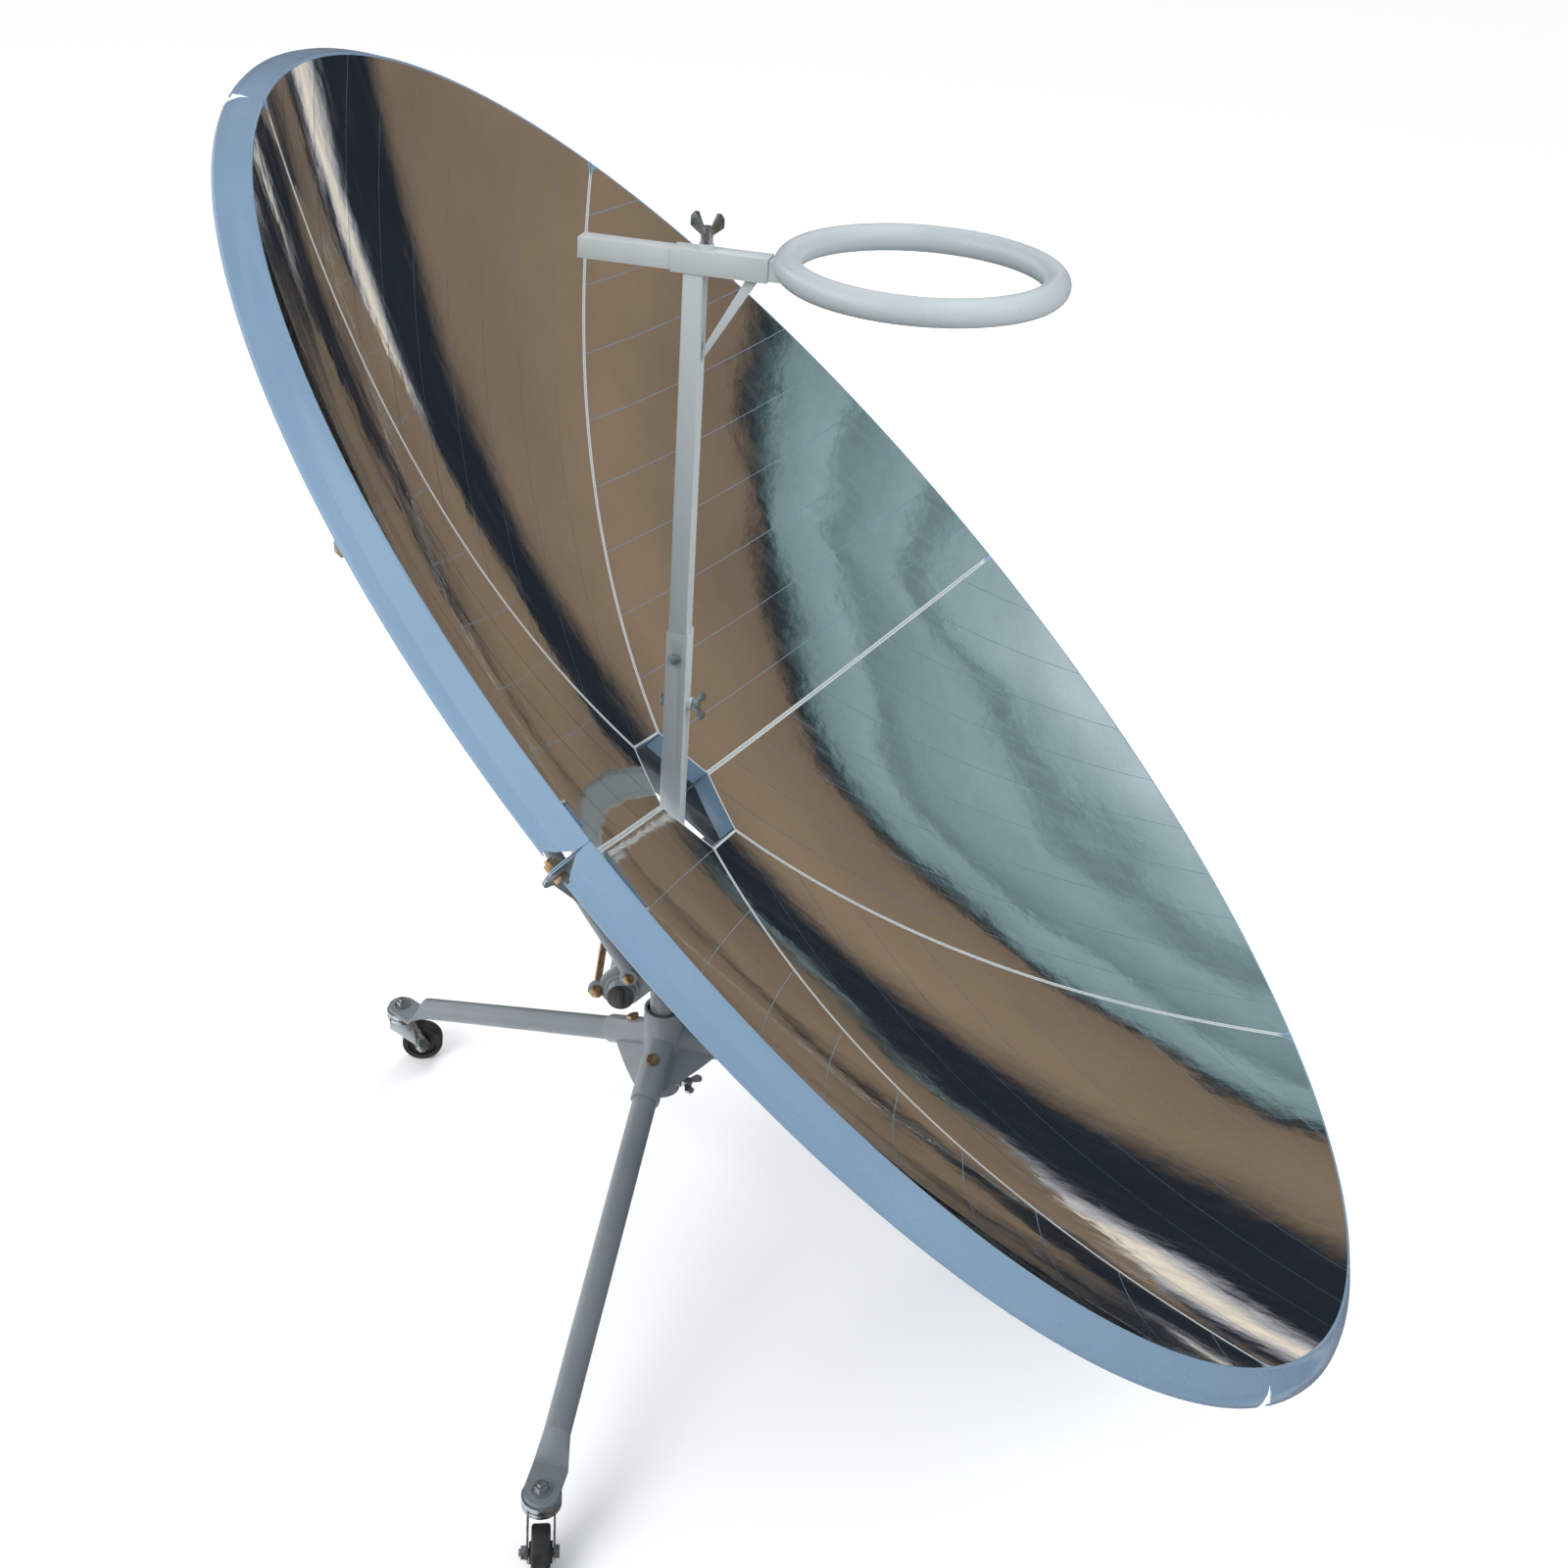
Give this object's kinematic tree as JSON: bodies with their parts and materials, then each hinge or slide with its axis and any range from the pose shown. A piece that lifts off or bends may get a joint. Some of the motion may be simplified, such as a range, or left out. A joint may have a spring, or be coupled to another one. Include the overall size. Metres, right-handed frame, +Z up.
{
  "type": "parabolic solar cooker",
  "caption": "Parabolic mirror dish of bolted petals that tilts on a three-legged castor stand, with a sliding pot arm and ring at its focus.",
  "frame": {"origin": "bottom centre of the bounding box, on the floor", "axes": "+Z up, +X the way the dish opens at rest, +Y along the tilt pivot"},
  "size_m": [1.114, 1.54, 1.2812],
  "materials": {
    "dish_enamel": "pale blue-grey gloss powder coat",
    "mirror_film": "metallised mirror film in narrow strips, slightly rippled",
    "wheel_rubber": "black, satin",
    "zinc_plate": "bright zinc plate",
    "stand_paint": "grey satin powder coat",
    "dark_plastic": "black",
    "yellow_zinc": "yellow chromate zinc plate on steel",
    "silver_paint": "silver-grey gloss coat on steel tube",
    "ring_paint": "silver-white gloss coat"
  },
  "bodies": {
    "base": {"leg_hub": "stand_paint", "hub_bushing": "dark_plastic", "leg_1": "stand_paint", "leg_2": "stand_paint", "leg_3": "stand_paint", "leg_bolts": "yellow_zinc", "castor_stems": "zinc_plate"},
    "hub_screw": {"hub_wing_screw": "zinc_plate"},
    "head": {"head_block": "stand_paint", "head_screw": "zinc_plate", "pivot_tube": "stand_paint", "pivot_plugs": "dark_plastic", "pivot_collars": "stand_paint"},
    "dish": {"petal_1": "dish_enamel", "petal_2": "dish_enamel", "petal_3": "dish_enamel", "petal_4": "dish_enamel", "petal_5": "dish_enamel", "petal_6": "dish_enamel", "mirror_1": "mirror_film", "mirror_2": "mirror_film", "mirror_3": "mirror_film", "mirror_4": "mirror_film", "mirror_5": "mirror_film", "mirror_6": "mirror_film", "carrier_plate": "stand_paint", "side_plate_near": "stand_paint", "side_plate_far": "stand_paint", "carrier_bolts": "yellow_zinc", "tie_rod": "yellow_zinc", "strap_1": "stand_paint", "strap_2": "stand_paint", "rim_bolts": "yellow_zinc", "stay_1": "stand_paint", "stay_2": "stand_paint", "stay_pads": "stand_paint", "stay_bolts": "yellow_zinc"},
    "mast": {"mast_lower": "silver_paint", "mast_stop_screw": "zinc_plate", "mast_nut": "zinc_plate"},
    "mast_screw": {"mast_wing_screw": "zinc_plate"},
    "upper_mast": {"mast_upper": "silver_paint", "arm_sleeve": "silver_paint", "arm_brace": "silver_paint"},
    "arm_screw": {"arm_wing_screw": "zinc_plate"},
    "pot_arm": {"arm_inner": "silver_paint", "pot_ring": "ring_paint"},
    "castor_1": {"castor_fork_1": "zinc_plate", "castor_axle_1": "zinc_plate"},
    "wheel_1": {"castor_wheel_1": "wheel_rubber"},
    "castor_2": {"castor_fork_2": "zinc_plate", "castor_axle_2": "zinc_plate"},
    "wheel_2": {"castor_wheel_2": "wheel_rubber"},
    "castor_3": {"castor_fork_3": "zinc_plate", "castor_axle_3": "zinc_plate"},
    "wheel_3": {"castor_wheel_3": "wheel_rubber"}
  },
  "joints": [
    {"name": "head_turn", "type": "hinge", "parent": "base", "child": "head", "pos_m": [-0.16689, 0, 0.26], "axis": [0, 0, 1], "continuous": true},
    {"name": "dish_tilt", "type": "hinge", "parent": "head", "child": "dish", "pos_m": [-0.20889, 0, 0.38], "axis": [0, 1, 0], "range_deg": [-9, 3]},
    {"name": "stand_turn", "type": "hinge", "parent": "head", "child": "mast", "pos_m": [-0.16689, 0, 0.4], "axis": [0, 0, 1], "range_deg": [-75, 100]},
    {"name": "mast_slide", "type": "slide", "parent": "mast", "child": "upper_mast", "axis": [0, 0, 1], "range_m": [-0.08, 0.14]},
    {"name": "arm_slide", "type": "slide", "parent": "upper_mast", "child": "pot_arm", "axis": [0.9728, -0.2317, 0], "range_m": [-0.004, 0.07]},
    {"name": "hub_screw_turn", "type": "hinge", "parent": "base", "child": "hub_screw", "pos_m": [-0.13444, -0.01311, 0.222], "axis": [0.9272, -0.3746, 0], "continuous": true},
    {"name": "mast_screw_turn", "type": "hinge", "parent": "mast", "child": "mast_screw", "pos_m": [-0.14744, -0.00464, 0.685], "axis": [0.9728, -0.2317, 0], "continuous": true},
    {"name": "arm_screw_turn", "type": "hinge", "parent": "upper_mast", "child": "arm_screw", "pos_m": [-0.15814, -0.00209, 1.15], "axis": [0, 0, 1], "continuous": true},
    {"name": "castor_turn_1", "type": "hinge", "parent": "base", "child": "castor_1", "pos_m": [-0.50499, 0.2847, 0.064], "axis": [0, 0, 1], "continuous": true},
    {"name": "wheel_roll_1", "type": "hinge", "parent": "castor_1", "child": "wheel_1", "pos_m": [-0.48122, 0.28804, 0.025], "axis": [-0.1392, 0.9903, 0], "continuous": true},
    {"name": "castor_turn_2", "type": "hinge", "parent": "base", "child": "castor_2", "pos_m": [-0.24441, -0.43515, 0.064], "axis": [0, 0, 1], "continuous": true},
    {"name": "wheel_roll_2", "type": "hinge", "parent": "castor_2", "child": "wheel_2", "pos_m": [-0.2419, -0.45902, 0.025], "axis": [0.9945, 0.1045, 0], "continuous": true},
    {"name": "castor_turn_3", "type": "hinge", "parent": "base", "child": "castor_3", "pos_m": [0.24871, 0.15045, 0.064], "axis": [0, 0, 1], "continuous": true},
    {"name": "wheel_roll_3", "type": "hinge", "parent": "castor_3", "child": "wheel_3", "pos_m": [0.26071, 0.17123, 0.025], "axis": [-0.866, 0.5, 0], "continuous": true}
  ]
}
